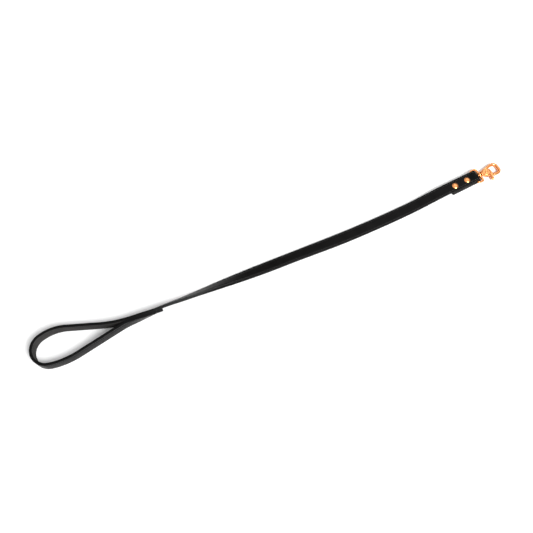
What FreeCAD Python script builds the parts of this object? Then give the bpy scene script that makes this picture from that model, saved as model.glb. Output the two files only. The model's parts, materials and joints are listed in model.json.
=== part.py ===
"""Leather hand-loop lead with a swivel trigger snap.

One strap of two bonded plies is folded back and stitched into a hand loop at
its -X end, turns from standing on edge to lying flat along its run, and folds
round the bar of a swivel eye at its +X end, where two rivets close the fold.
Lengths are millimetres and angles are degrees.
"""
import FreeCAD, Part
import math
import os

from FreeCAD import Placement, Rotation, Vector

doc = FreeCAD.newDocument("hand_loop_lead")

# ------------------------------------------------------------- dimensions
sheet = doc.addObject("Spreadsheet::Sheet", "sizes")
SIZES = [
    # strap section
    ("strap_width", 20.0, "width of the strap"),
    ("ply_thick", 2.3, "thickness of each of the two plies"),
    ("glue_gap", 0.1, "cement line where the strap is doubled back on itself"),
    # plan of the run, measured from the eye's strap bar
    ("run_straight", 112.0, "straight stretch next to the eye"),
    ("run_bow_len", 200.0, "length of the slow bow in the run"),
    ("run_bow_turn", 4.6, "angle of the slow bow"),
    ("run_total", 644.8, "length of the run from the eye to the loop"),
    # plan of the hand loop, in order round it
    ("flare_radius", 165.0, "far leg curving away from the join"),
    ("flare_turn", 18.8, "angle of that curve"),
    ("far_leg", 56.0, "straight part of the far leg"),
    ("shoulder_radius", 66.0, "shoulder before the loop's end"),
    ("shoulder_turn", 37.0, "angle of the shoulder"),
    ("bow_radius", 26.0, "round end of the loop"),
    ("bow_turn", 152.0, "angle of the round end"),
    ("return_radius", 120.0, "curve into the near leg"),
    ("merge_radius", 80.0, "near leg bending on to the run"),
    ("near_leg_slope", 7.5, "angle of the near leg to +X"),
    ("overlap_len", 46.0, "stitched overlap of the folded-back end"),
    ("overlap_ease", 40.0, "length over which the run rises on to the folded-back end"),
    ("end_round", 6.0, "length over which the cut end is rounded"),
    # roll of the strap: 90 lies flat, 0 stands on edge
    ("roll_ease", 16.0, "first part of the roll"),
    ("ease_near", 250.0, "distance from the eye where it starts"),
    ("ease_far", 380.0, "and where it ends"),
    ("roll_main", 48.0, "main part of the roll"),
    ("main_near", 390.0, "distance from the eye where it starts"),
    ("main_far", 605.0, "and where it ends"),
    ("roll_last", 26.0, "last part, along the stitched overlap"),
    ("last_near", 590.0, "distance from the eye where it starts"),
    ("last_far", 668.0, "and where it ends"),
    # folded end at the snap
    ("tail_len", 52.5, "folded tail, from the eye's bar to its cut end"),
    ("tail_shift", 3.0, "how far the tail's cut end sits to the -Y side"),
    ("fold_shift", 2.6, "how far its other end sits to that side, under the bar"),
    ("fold_rise", 12.0, "length over which the top layer climbs to the bar"),
    ("settle_near", 60.0, "distance from the eye where the run starts down"),
    ("settle_far", 140.0, "distance where it lies on the ground"),
    # stitching
    ("stitch_inset", 2.5, "from the strap's edge to the row of stitches"),
    ("thread_width", 0.9, "width of the thread"),
    ("thread_rise", 0.35, "height of the thread over the leather"),
    # rivets
    ("rivet_far", 43.3, "from the eye's bar to the first rivet"),
    ("rivet_near", 17.3, "from the eye's bar to the second rivet"),
    ("rivet_cap_radius", 5.5, "radius of each cap"),
    ("rivet_rim", 0.5, "height of the cap's rim"),
    ("rivet_dome", 1.3, "height of the dome over the rim"),
    ("rivet_post_radius", 1.9, "radius of the post"),
    ("rivet_sink", 0.45, "depth of the back cap pressed into the leather"),
    # swivel eye
    ("bar_radius", 1.6, "radius of the strap bar"),
    ("bar_play", 0.1, "clearance between the bar and the strap"),
    ("frame_radius", 1.8, "radius of the eye's other bars"),
    ("eye_inner", 23.0, "inside width of the eye"),
    ("eye_reach", 11.0, "between the axes of its two cross bars"),
    ("boss_radius", 4.2, "round boss on the outer bar"),
    ("boss_back", 2.9, "boss, from the outer bar's axis towards the strap"),
    ("boss_ahead", 2.0, "boss, from the outer bar's axis towards the hook"),
    ("outer_back", 1.0, "thinner back edge of the outer bar, behind its axis"),
    ("outer_back_radius", 1.6, "radius of that back edge"),
    # hook
    ("stud_radius", 2.0, "radius of the swivel stud"),
    ("swivel_play", 0.06, "radial clearance of the stud"),
    ("end_play", 0.25, "clearance at each face of the boss"),
    ("stud_head_radius", 3.2, "radius of the upset head of the stud"),
    ("stud_head_thick", 1.1, "thickness of that head"),
    ("collar_radius", 5.2, "collar of the hook"),
    ("collar_long", 2.8, "length of the collar"),
    ("neck_radius", 3.6, "neck between the collar and the body"),
    ("pivot_along", 24.5, "trigger pivot, from the strap bar"),
    ("pivot_side", -1.5, "trigger pivot, to the side of the swivel axis"),
    ("cheek_radius", 7.4, "round cheeks about the pivot"),
    ("cheek_height", 7.2, "height over both cheeks"),
    ("slot_height", 3.5, "slot between the cheeks"),
    ("slot_back", 4.5, "slot, from the pivot back towards the collar"),
    ("body_far", 5.0, "body from the swivel axis to its far side"),
    ("body_near", 4.6, "body from the swivel axis to its near side"),
    ("body_height", 6.4, "height of the body behind the cheeks"),
    ("limb_radius", 2.9, "radius of the hook's round limb"),
    ("limb_start_side", 2.4, "side offset where the limb leaves the neck"),
    ("limb_bend_along", 38.0, "where the limb turns parallel to the axis"),
    ("limb_side", 8.2, "side offset of the far limb"),
    ("crown_along", 51.0, "crown of the hook, from the strap bar"),
    ("crown_radius", 6.5, "bend radius at both corners of the crown"),
    ("nose_side", 11.0, "side offset of the nose"),
    ("nose_end_along", 34.8, "end face of the nose"),
    # trigger
    ("gate_play", 0.3, "clearance round the gate"),
    ("gate_face_play", 0.15, "clearance of the hub in the slot"),
    ("gate_reach", 10.0, "from the pivot to the gate's front face"),
    ("gate_height", 5.6, "thickness of the gate"),
    ("gate_low", 11.4, "gate, from the pivot to the nose side"),
    ("gate_high", 4.1, "gate, from the pivot to the far limb"),
    ("hub_radius", 5.3, "radius of the hub in the slot"),
    ("web_low", 9.0, "web, from the pivot to the nose side"),
    ("lever_along", 2.6, "lever tip, along the axis from the pivot"),
    ("lever_side", 15.6, "lever tip, to the side of the pivot"),
    ("lever_radius", 1.9, "half width of the lever"),
    ("lever_tip_radius", 2.6, "round end of the lever"),
    ("lever_height", 4.4, "thickness of the lever"),
    ("pin_radius", 1.5, "radius of the pivot pin"),
    ("pin_play", 0.06, "radial clearance of the gate on the pin"),
    ("pin_head_radius", 2.4, "radius of the pin's heads"),
    ("pin_head_thick", 0.5, "thickness of each head"),
    ("spring_wire", 0.25, "radius of the spring's wire"),
    ("spring_radius", 2.4, "mean radius of the spring"),
    ("spring_pitch", 0.6, "rise of each turn"),
    ("spring_turns", 2.5, "turns of the spring"),
    ("spring_well", 3.2, "radius of the well in the gate's hub"),
    ("spring_well_deep", 2.3, "depth of that well"),
    # where the whole part sits
    ("rest_flat", 0.03, "depth pressed flat where the strap rests on the ground"),
    ("snap_pitch", 3.2, "how far the snap hangs down from the strap"),
    ("origin_along", 378.4, "from the eye's bar back to the origin, along X"),
    ("origin_side", 28.0, "from the eye's centre line to the origin, along Y"),
]
for row, (alias, value, meaning) in enumerate(SIZES, start=1):
    sheet.set(f"A{row}", meaning)
    sheet.set(f"B{row}", str(value))
    sheet.setAlias(f"B{row}", alias)
doc.recompute()


def size(alias):
    """Value of one driving dimension."""
    return float(sheet.get(alias))


def smooth(value, start, end):
    """0 before start, 1 after end, with level ends between them."""
    part = min(max((value - start) / (end - start), 0.0), 1.0)
    return part * part * (3.0 - 2.0 * part)


# ------------------------------------------------------- the strap's route
UP = Vector(0, 0, 1)
ARC_STEP = 6.0        # degrees of bend between two sections
RETURN_STEP = 3.0     # the same, in the bend that closes the loop
WIDE_STEP = 2.0       # the same, in a wide bend
BOW_STEP = 0.2        # the same, in the run's long bow
ROLL_STEP = 8.0       # millimetres between two sections where the strap rolls
STRAIGHT_STEP = 16.0  # the same, where it is straight
MERGE_STEP = 12.0     # the same, where the near leg comes back to the run
half_width = size("strap_width") / 2
ply = size("ply_thick")
doubled = 2 * ply + size("glue_gap")
bar_height = 2 * ply + size("bar_radius") + size("bar_play")
fold_radius = size("bar_radius") + size("bar_play") + ply


def roll_at(distance):
    """Roll of the strap, in radians, at a distance from the eye."""
    roll = 90.0
    roll -= size("roll_ease") * smooth(distance, size("ease_near"), size("ease_far"))
    roll -= size("roll_main") * smooth(distance, size("main_near"), size("main_far"))
    roll -= size("roll_last") * smooth(distance, size("last_near"), size("last_far"))
    return math.radians(roll)


def rest_height(roll):
    """Height of the strap's middle when its lowest corner is on the ground."""
    return half_width * abs(math.cos(roll)) + ply * abs(math.sin(roll))


class Route:
    """A chain of straight and curved stretches in plan."""

    def __init__(self, start, heading):
        self.spot = Vector(start)
        self.heading = heading
        self.points = [(Vector(start), heading)]

    def line(self, length, step):
        count = max(1, math.ceil(length / step))
        ahead = Vector(math.cos(self.heading), math.sin(self.heading), 0)
        for _ in range(count):
            self.spot = self.spot + ahead * (length / count)
            self.points.append((Vector(self.spot), self.heading))

    def arc(self, radius, turn, step=ARC_STEP):
        """turn is in degrees, counter-clockwise when positive."""
        count = max(1, math.ceil(abs(turn) / step))
        side = math.copysign(1.0, turn)
        centre = self.spot + Vector(-math.sin(self.heading), math.cos(self.heading), 0) * (side * radius)
        for _ in range(count):
            self.heading += math.radians(turn) / count
            across = Vector(-math.sin(self.heading), math.cos(self.heading), 0)
            self.spot = centre - across * (side * radius)
            self.points.append((Vector(self.spot), self.heading))


def frames_of(path):
    """(middle, outward normal, width direction) for each (point, normal) on a path."""
    ways = [(after[0] - before[0]).normalize() for before, after in zip(path, path[1:])]
    frames = []
    for (point, normal), arrive, leave in zip(path, ways[:1] + ways, ways + ways[-1:]):
        along = (arrive + leave).normalize()
        square = (normal - along * normal.dot(along)).normalize()
        frames.append((point, square, along.cross(square).normalize()))
    return frames


# Folded end: along the tail towards the eye, round the bar, and up on top.
# The path lies in the XZ plane, and fold_drift then carries it to the -Y side.
HALF_TURN = 180
FOLD_STEP = 10        # degrees round the bar between two sections
STRETCHES = 8         # sections along the tail, and along the climb
top_height = doubled + ply
crest = bar_height + fold_radius
fold_path = []
fold_drift = []
for index in range(STRETCHES):
    x = -size("tail_len") * (1 - index / STRETCHES)
    fold_path.append((Vector(x, 0, ply), UP * -1))
    skew = (size("tail_shift") - size("fold_shift")) * index / STRETCHES
    fold_drift.append(skew - size("tail_shift"))
for degrees in range(0, HALF_TURN + 1, FOLD_STEP):
    angle = math.radians(degrees)
    outward = Vector(math.sin(angle), 0, -math.cos(angle))
    fold_path.append((UP * bar_height + outward * fold_radius, outward))
    fold_drift.append(-size("fold_shift") * (1 - degrees / (2 * HALF_TURN)))
for index in range(1, STRETCHES + 1):
    share = index / STRETCHES
    settled = smooth(share, 0, 1)
    height = crest + (top_height - crest) * settled
    fold_path.append((Vector(-size("fold_rise") * share, 0, height), UP))
    fold_drift.append(-size("fold_shift") / 2 * (1 - settled))

# Run: level over the tail, down to the ground, through the roll to the loop.
run = Route((-size("fold_rise"), 0, 0), math.pi)
run.line(size("settle_near") - size("fold_rise"), STRAIGHT_STEP)
run.line(size("run_straight") - size("settle_near"), ROLL_STEP)
run.arc(size("run_bow_len") / math.radians(size("run_bow_turn")), -size("run_bow_turn"), BOW_STEP)
run.line(size("run_total") - size("run_straight") - size("run_bow_len"), ROLL_STEP)
join_spot = Vector(run.spot)
join_heading = run.heading
join_index = len(run.points) - 1
run.arc(size("flare_radius"), -size("flare_turn"), WIDE_STEP)
run.line(size("far_leg"), STRAIGHT_STEP)
run.arc(size("shoulder_radius"), size("shoulder_turn"))
run.arc(size("bow_radius"), size("bow_turn"))
near_heading = 2 * math.pi + math.radians(size("near_leg_slope"))
run.arc(size("return_radius"), math.degrees(near_heading - run.heading), RETURN_STEP)
# The near leg is as long as it takes to end one doubled thickness from the run.
merge_turn = size("near_leg_slope") + size("run_bow_turn")
back_along = Vector(-math.cos(join_heading), -math.sin(join_heading), 0)
back_side = Vector(-back_along.y, back_along.x, 0)
merge_rise = size("merge_radius") * (1 - math.cos(math.radians(merge_turn)))
lean_gap = doubled * math.cos(roll_at(-join_spot.x))
short_of = -lean_gap - merge_rise - (run.spot - join_spot).dot(back_side)
run.line(short_of / math.sin(math.radians(merge_turn)), MERGE_STEP)
run.arc(size("merge_radius"), -merge_turn, WIDE_STEP)
join_along = -join_spot.x


def strap_height(distance, roll):
    """Height of the run's middle: over the tail, on the ground, over the overlap."""
    on_tail = doubled * (1 - smooth(distance, size("settle_near"), size("settle_far")))
    overlap_start = join_along - size("overlap_len")
    rise_start = overlap_start - size("overlap_ease")
    under = doubled * math.sin(roll) * smooth(distance, rise_start, overlap_start)
    return rest_height(roll) + on_tail + under


strap_path = list(fold_path)
crown_index = max(range(len(run.points)), key=lambda i: -run.points[i][0].x)
for index, (spot, heading) in enumerate(run.points[1:], start=1):
    far_side = index <= crown_index
    distance = -spot.x
    roll = roll_at(distance)
    height = strap_height(distance, roll) if far_side else rest_height(roll)
    outward = Vector(math.sin(heading), -math.cos(heading), 0)
    lean = roll if far_side else -roll
    normal = outward * math.cos(lean) + UP * math.sin(lean)
    strap_path.append((Vector(spot.x, spot.y, height), normal))

# Folded-back end: backs the run's own sections from the loop to the cut end.
run_frames = frames_of(strap_path)
first_run = len(fold_path) - 1
for index in range(join_index - 1, 0, -1):
    point, normal, width = run_frames[first_run + index]
    if join_along + point.x > size("overlap_len"):
        break
    strap_path.append((point - normal * doubled, normal * -1))
strap_frames = frames_of(strap_path)
for (point, _, _), drift in zip(strap_frames, fold_drift):
    point.y += drift


CUT_SECTIONS = 4      # sections of the rounded cut end
CUT_NARROWING = 0.8   # share of the squared half width that the rounding takes
THREAD_STOP = 3       # sections left bare of thread before the cut end


def end_width(index):
    """Half width of the strap: full, but drawn in over the rounded cut end."""
    left = (strap_path[-1][0] - strap_path[index][0]).Length
    inside = 1 - min(left / size("end_round"), 1.0)
    if index < len(strap_path) - CUT_SECTIONS:
        inside = 0.0
    return half_width * math.sqrt(1 - CUT_NARROWING * inside * inside)


def strip(first, last, low_w, high_w, low_n, high_n, rounded=False):
    """Solid of a flat strip that follows the strap from one frame to another."""
    wires = []
    for index in range(first, last + 1):
        point, normal, width = strap_frames[index]
        reach = end_width(index) / half_width if rounded else 1.0
        corners = [(low_w, low_n), (high_w, low_n), (high_w, high_n), (low_w, high_n)]
        ring = [point + width * (w * reach) + normal * n for w, n in corners]
        wires.append(Part.makePolygon(ring + [ring[0]]))
    return Part.makeLoft(wires, True, True)


def feature(name, shape, spot):
    """Document object for a strip, moved into the part's frame."""
    made = doc.addObject("Part::Feature", name)
    made.Shape = shape
    made.Placement = Placement(spot, Rotation())
    made.Label = name
    return made


last_frame = len(strap_frames) - 1
origin = Vector(size("origin_along"), -size("origin_side"), -size("rest_flat"))
rivet_spots = {"rear": -size("rivet_far"), "front": -size("rivet_near")}
rivet_side = -size("tail_shift") / 2


def rivet_holes():
    """Cylinders that clear the two rivet posts through both layers."""
    tall = 2 * doubled + size("strap_width")
    posts = []
    for along in rivet_spots.values():
        foot = Vector(along, rivet_side, -ply)
        posts.append(Part.makeCylinder(size("rivet_post_radius"), tall, foot, UP))
    return posts


def back_cap_seats():
    """Shallow seats under the tail for the rivets' back caps."""
    seats = []
    for along in rivet_spots.values():
        foot = Vector(along, rivet_side, 0)
        seats.append(Part.makeCylinder(size("rivet_cap_radius"), size("rivet_rim"), foot, UP))
    return seats


GROUND_LONG, GROUND_WIDE, GROUND_DEEP = 1000, 300, 5
GROUND_AHEAD = 50     # how far the ground goes past the eye's bar


def ground():
    """Block whose top is the ground that flattens the strap's underside."""
    corner = Vector(GROUND_AHEAD - GROUND_LONG, -GROUND_WIDE / 2, size("rest_flat") - GROUND_DEEP)
    return Part.makeBox(GROUND_LONG, GROUND_WIDE, GROUND_DEEP, corner)


grain = strip(0, last_frame, -half_width, half_width, 0, ply, rounded=True)
grain = grain.cut([*rivet_holes(), *back_cap_seats(), ground()])
lining = strip(0, last_frame, -half_width, half_width, -ply, 0, rounded=True)
lining = lining.cut([*rivet_holes(), ground()])
made_nodes = [
    feature("strap_grain_ply", grain.Solids[0], origin),
    feature("strap_lining_ply", lining.Solids[0], origin),
]

# Stitching: a row of thread along each edge, over the grain side.
row_middle = half_width - size("stitch_inset")
row_half = size("thread_width") / 2
CLIMB_STITCHED = 4    # sections of the climb that the thread covers
stitch_first = len(fold_path) - CLIMB_STITCHED
stitch_last = last_frame - THREAD_STOP
for side, name in ((1, "edge_stitching_left"), (-1, "edge_stitching_right")):
    low, high = sorted((side * (row_middle - row_half), side * (row_middle + row_half)))
    row = strip(stitch_first, stitch_last, low, high, ply, ply + size("thread_rise"))
    made_nodes.append(feature(name, row, origin))

# Cross rows that lock the folded-back end, between the two edge rows.
lock_rows = []
cross = row_middle - 2 * row_half
THREAD_LIFT = 0.02    # the cross rows lie this far off the leather
for index in (stitch_last - 1, stitch_last):
    point, normal, width = strap_frames[index]
    along = width.cross(normal).normalize()
    ring = []
    for w, shift in ((-cross, -row_half), (cross, -row_half), (cross, row_half), (-cross, row_half)):
        ring.append(point + width * w + along * shift + normal * (ply + THREAD_LIFT))
    base = Part.Face(Part.makePolygon(ring + [ring[0]]))
    lock_rows.append(base.extrude(normal * size("thread_rise")))
made_nodes.append(feature("loop_lock_stitching", Part.makeCompound(lock_rows), origin))

# ------------------------------------------------------ parametric helpers
snap_spot = origin + Vector(0, rivet_side, bar_height)
snap_place = Placement(snap_spot, Rotation(Vector(0, 1, 0), size("snap_pitch")))
AXIS = {"x": Rotation(Vector(0, 1, 0), 90), "y": Rotation(Vector(1, 0, 0), -90), "z": Rotation()}


def solid(kind, name, where, turn, **sizes):
    """Part primitive whose sizes and place are bound to the sheet."""
    made = doc.addObject("Part::" + kind, name)
    for prop, formula in sizes.items():
        made.setExpression(prop, formula)
    made.Placement = Placement(Vector(), AXIS[turn] if isinstance(turn, str) else turn)
    for axis, formula in zip("xyz", where):
        made.setExpression("Placement.Base." + axis, formula)
    return made


def fuse(name, pieces, refine=True):
    """The pieces as one; refine merges faces of theirs that lie in one surface."""
    made = doc.addObject("Part::MultiFuse", name)
    made.Shapes = pieces
    made.Refine = refine
    return made


def cut(name, base, tool, refine=True):
    made = doc.addObject("Part::Cut", name)
    made.Base = base
    made.Tool = tool
    made.Refine = refine
    return made


def finish(made, name, place):
    """Name a finished sub-part and put it in its place."""
    made.Label = name
    made.Placement = place
    made_nodes.append(made)


ZERO = "0 mm"

# ----------------------------------------------------------------- rivets
# Each rivet is a post with a flat back cap, set into a domed front cap.
for which in ("rear", "front"):
    reach = "sizes.rivet_far" if which == "rear" else "sizes.rivet_near"
    along, aside = "-" + reach, "-sizes.tail_shift / 2"
    stack = "(4 * sizes.ply_thick + sizes.glue_gap)"
    dome_radius = "((sizes.rivet_cap_radius^2 + sizes.rivet_dome^2) / (2 * sizes.rivet_dome))"
    rim = solid("Cylinder", which + "_cap_rim", (along, aside, stack), "z",
                Radius="sizes.rivet_cap_radius", Height="sizes.rivet_rim")
    ball = solid("Sphere", which + "_cap_ball",
                 (along, aside, f"{stack} + sizes.rivet_rim + sizes.rivet_dome - {dome_radius}"), "z",
                 Radius=dome_radius)
    above = solid("Cylinder", which + "_cap_above", (along, aside, f"{stack} + sizes.rivet_rim"), "z",
                  Radius="sizes.rivet_cap_radius", Height="sizes.rivet_dome")
    dome = doc.addObject("Part::MultiCommon", which + "_cap_dome")
    dome.Shapes = [ball, above]
    finish(fuse(which + "_cap", [rim, dome]), which + "_rivet_cap", Placement(origin, Rotation()))
    back = solid("Cylinder", which + "_back", (along, aside, "sizes.rivet_rim - sizes.rivet_sink"), "z",
                 Radius="sizes.rivet_cap_radius", Height="sizes.rivet_sink")
    post = solid("Cylinder", which + "_shank", (along, aside, "sizes.rivet_rim - sizes.rivet_sink"), "z",
                 Radius="sizes.rivet_post_radius", Height=f"{stack} - sizes.rivet_rim + sizes.rivet_sink")
    finish(fuse(which + "_post_and_back", [back, post]), which + "_rivet_post", Placement(origin, Rotation()))

# ------------------------------------------------------------- swivel eye
# A rectangular frame of round bar: strap bar, two side bars, an outer bar with
# a bored boss for the swivel stud, and a rounded corner between each.
half_eye = "(sizes.eye_inner / 2 + sizes.frame_radius)"
eye_parts = [
    solid("Cylinder", "eye_strap_bar", (ZERO, "-" + half_eye, ZERO), "y",
          Radius="sizes.bar_radius", Height="2 * " + half_eye),
    solid("Cylinder", "eye_outer_bar", ("sizes.eye_reach", "-" + half_eye, ZERO), "y",
          Radius="sizes.frame_radius", Height="2 * " + half_eye),
    solid("Cylinder", "eye_outer_bar_back", ("sizes.eye_reach - sizes.outer_back", "-" + half_eye, ZERO), "y",
          Radius="sizes.outer_back_radius", Height="2 * " + half_eye),
    solid("Cylinder", "eye_boss", ("sizes.eye_reach - sizes.boss_back", ZERO, ZERO), "x",
          Radius="sizes.boss_radius", Height="sizes.boss_back + sizes.boss_ahead"),
]
for sign in ("-", ""):
    eye_parts.append(solid("Cylinder", "eye_side_bar", (ZERO, sign + half_eye, ZERO), "x",
                           Radius="sizes.frame_radius", Height="sizes.eye_reach"))
    for end in (ZERO, "sizes.eye_reach"):
        eye_parts.append(solid("Sphere", "eye_corner", (end, sign + half_eye, ZERO), "z",
                               Radius="sizes.frame_radius"))
eye_bore = solid("Cylinder", "eye_bore", (ZERO, ZERO, ZERO), "x",
                 Radius="sizes.stud_radius + sizes.swivel_play", Height="2 * sizes.eye_reach")
bore_from = solid("Cylinder", "eye_bore_keep", (ZERO, ZERO, ZERO), "x",
                  Radius="sizes.boss_radius", Height="sizes.eye_reach / 2")
bore_tool = cut("eye_bore_tool", eye_bore, bore_from)
finish(cut("eye_bored", fuse("eye_frame", eye_parts), bore_tool), "swivel_eye", snap_place)

# ------------------------------------------------------------- snap hook
# Stud, collar, neck, two cheeks and one round limb, cast in one piece.
boss_out = "(sizes.eye_reach + sizes.boss_ahead)"
boss_in = "(sizes.eye_reach - sizes.boss_back)"
collar_from = f"({boss_out} + sizes.end_play)"
neck_from = f"({collar_from} + sizes.collar_long)"
limb_run = f"(sizes.limb_bend_along - {neck_from})"
limb_climb = "(sizes.limb_side - sizes.limb_start_side)"
run_length = size("limb_bend_along") - size("eye_reach") - size("boss_ahead")
run_length -= size("end_play") + size("collar_long")
climb = size("limb_side") - size("limb_start_side")
slant = Rotation(Vector(1, 0, 0), Vector(run_length, climb, 0)).multiply(AXIS["x"])
crown_in = "(sizes.crown_along - sizes.crown_radius)"
hook_parts = [
    solid("Cylinder", "stud_head", (f"{boss_in} - sizes.end_play - sizes.stud_head_thick", ZERO, ZERO), "x",
          Radius="sizes.stud_head_radius", Height="sizes.stud_head_thick"),
    solid("Cylinder", "stud", (f"{boss_in} - sizes.end_play - sizes.stud_head_thick / 2", ZERO, ZERO), "x",
          Radius="sizes.stud_radius",
          Height="sizes.boss_back + sizes.boss_ahead + 2 * sizes.end_play + sizes.stud_head_thick"),
    solid("Cylinder", "collar", (collar_from, ZERO, ZERO), "x",
          Radius="sizes.collar_radius", Height="sizes.collar_long"),
    solid("Cylinder", "neck", (neck_from, ZERO, ZERO), "x",
          Radius="sizes.neck_radius", Height=f"sizes.pivot_along - {neck_from}"),
    solid("Box", "body", (neck_from, "-sizes.body_near", "-sizes.body_height / 2"), "z",
          Length=f"sizes.pivot_along - {neck_from}", Width="sizes.body_near + sizes.body_far",
          Height="sizes.body_height"),
    solid("Cylinder", "cheeks", ("sizes.pivot_along", "sizes.pivot_side", "-sizes.cheek_height / 2"), "z",
          Radius="sizes.cheek_radius", Height="sizes.cheek_height"),
    solid("Cylinder", "limb_slant", (neck_from, "sizes.limb_start_side", ZERO), slant,
          Radius="sizes.limb_radius", Height=f"sqrt({limb_run}^2 + {limb_climb}^2)"),
    solid("Sphere", "limb_bend", ("sizes.limb_bend_along", "sizes.limb_side", ZERO), "z",
          Radius="sizes.limb_radius"),
    solid("Cylinder", "limb_far", ("sizes.limb_bend_along", "sizes.limb_side", ZERO), "x",
          Radius="sizes.limb_radius", Height=f"{crown_in} - sizes.limb_bend_along"),
    solid("Cylinder", "crown", ("sizes.crown_along", "sizes.crown_radius - sizes.nose_side", ZERO), "y",
          Radius="sizes.limb_radius",
          Height="sizes.limb_side + sizes.nose_side - 2 * sizes.crown_radius"),
    solid("Cylinder", "nose", ("sizes.nose_end_along", "-sizes.nose_side", ZERO), "x",
          Radius="sizes.limb_radius", Height=f"{crown_in} - sizes.nose_end_along"),
]
CORNERS = {
    "far": ("sizes.limb_side - sizes.crown_radius", 0),
    "near": ("sizes.crown_radius - sizes.nose_side", -90),
}
for corner, (side, start) in CORNERS.items():
    hook_parts.append(solid("Torus", "crown_corner_" + corner, (crown_in, side, ZERO),
                            Rotation(Vector(0, 0, 1), start), Radius1="sizes.crown_radius",
                            Radius2="sizes.limb_radius", Angle3="90 deg"))
PIVOT = ("sizes.pivot_along", "sizes.pivot_side")
hub_slot = solid("Cylinder", "hub_slot", (*PIVOT, "-sizes.slot_height / 2"), "z",
                 Radius="sizes.hub_radius + sizes.gate_play", Height="sizes.slot_height")
web_slot = solid("Box", "web_slot",
                 ("sizes.pivot_along - sizes.slot_back",
                  "sizes.pivot_side - sizes.web_low", "-sizes.slot_height / 2"), "z",
                 Length="sizes.slot_back + sizes.cheek_radius + sizes.gate_play",
                 Width="sizes.web_low + sizes.gate_play", Height="sizes.slot_height")
pin_hole = solid("Cylinder", "pin_hole", (*PIVOT, "-sizes.cheek_height"), "z",
                 Radius="sizes.pin_radius", Height="2 * sizes.cheek_height")
hook_tools = fuse("hook_tools", [hub_slot, web_slot, pin_hole])
hook_cast = fuse("hook_cast", hook_parts, refine=False)
finish(cut("hook_cut", hook_cast, hook_tools, refine=False), "snap_hook", snap_place)

# ---------------------------------------------------------------- trigger
# Bell crank: a thin hub between the cheeks, a thick gate that closes on the
# nose, and a thumb lever out to the side.
gate_x = "(sizes.pivot_along + sizes.cheek_radius / 2)"
lever_turn = math.degrees(math.atan2(-size("lever_side"), size("lever_along")))
lever_way = Rotation(Vector(0, 0, 1), lever_turn)
lever_root = lever_way.multVec(Vector(0, -size("lever_radius"), 0))
gate_slab = solid("Box", "gate_slab",
                  (gate_x, "sizes.pivot_side - sizes.gate_low", "-sizes.gate_height / 2"), "z",
                  Length="sizes.gate_reach - sizes.cheek_radius / 2",
                  Width="sizes.gate_low + sizes.gate_high", Height="sizes.gate_height")
lever_bar = solid("Box", "lever_bar",
                  (f"sizes.pivot_along + ({lever_root.x:.6f})",
                   f"sizes.pivot_side + ({lever_root.y:.6f})", "-sizes.lever_height / 2"), lever_way,
                  Length="sqrt(sizes.lever_along^2 + sizes.lever_side^2)",
                  Width="2 * sizes.lever_radius", Height="sizes.lever_height")
lever_tip = solid("Cylinder", "lever_tip",
                  ("sizes.pivot_along + sizes.lever_along", "sizes.pivot_side - sizes.lever_side",
                   "-sizes.lever_height / 2"), "z",
                  Radius="sizes.lever_tip_radius", Height="sizes.lever_height")
cheek_room = solid("Cylinder", "cheek_room", (*PIVOT, "-sizes.cheek_height"), "z",
                   Radius="sizes.cheek_radius + sizes.gate_play", Height="2 * sizes.cheek_height")
thick = cut("gate_thick", fuse("gate_outer", [gate_slab, lever_bar, lever_tip]), cheek_room)
hub_low = "sizes.gate_face_play - sizes.slot_height / 2"
hub_height = "sizes.slot_height - 2 * sizes.gate_face_play"
hub = solid("Cylinder", "gate_hub", (*PIVOT, hub_low), "z", Radius="sizes.hub_radius", Height=hub_height)
web = solid("Box", "gate_web", ("sizes.pivot_along", "sizes.pivot_side - sizes.web_low", hub_low), "z",
            Length="sizes.gate_reach - sizes.lever_radius", Width="sizes.web_low", Height=hub_height)
hub_bore = solid("Cylinder", "gate_bore", (*PIVOT, "-sizes.cheek_height"), "z",
                 Radius="sizes.pin_radius + sizes.pin_play", Height="2 * sizes.cheek_height")
well_low = "sizes.slot_height / 2 - sizes.gate_face_play - sizes.spring_well_deep"
well = solid("Cylinder", "spring_well", (*PIVOT, well_low), "z",
             Radius="sizes.spring_well", Height="sizes.slot_height")
gate_solid = fuse("gate_solid", [thick, hub, web])
finish(cut("gate_cut", gate_solid, fuse("gate_tools", [hub_bore, well])), "trigger_gate", snap_place)

# Pivot pin with a low head on each cheek, and the spring round it in the well.
pin_parts = [solid("Cylinder", "pin_shank", (*PIVOT, "-sizes.cheek_height / 2"), "z",
                   Radius="sizes.pin_radius", Height="sizes.cheek_height")]
PIN_HEADS = {"top": "sizes.cheek_height / 2", "foot": "-sizes.cheek_height / 2 - sizes.pin_head_thick"}
for face, head_low in PIN_HEADS.items():
    pin_parts.append(solid("Cylinder", "pin_head_" + face, (*PIVOT, head_low), "z",
                           Radius="sizes.pin_head_radius", Height="sizes.pin_head_thick"))
finish(fuse("pin_solid", pin_parts), "pivot_pin", snap_place)

coil_low = size("slot_height") / 2 - size("gate_face_play") - size("spring_well_deep")
coil_low += 2 * size("spring_wire")
COIL_STEP = 20        # degrees between two sections of the wire
WIRE_SIDES = 8
wire_rings = []
for step in range(int(size("spring_turns") * 360 / COIL_STEP) + 1):
    angle = math.radians(step * COIL_STEP)
    outward = Vector(math.cos(angle), math.sin(angle), 0)
    middle = outward * size("spring_radius") + UP * (size("spring_pitch") * step * COIL_STEP / 360)
    ring = []
    for side in range(WIRE_SIDES):
        around = math.radians(side * 360 / WIRE_SIDES)
        ring.append(middle + (outward * math.cos(around) + UP * math.sin(around)) * size("spring_wire"))
    wire_rings.append(Part.makePolygon(ring + [ring[0]]))
spring = doc.addObject("Part::Feature", "trigger_spring")
spring.Shape = Part.makeLoft(wire_rings, True, True)
spring_spot = Placement(Vector(size("pivot_along"), size("pivot_side"), coil_low), Rotation())
finish(spring, "trigger_spring", snap_place.multiply(spring_spot))

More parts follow.
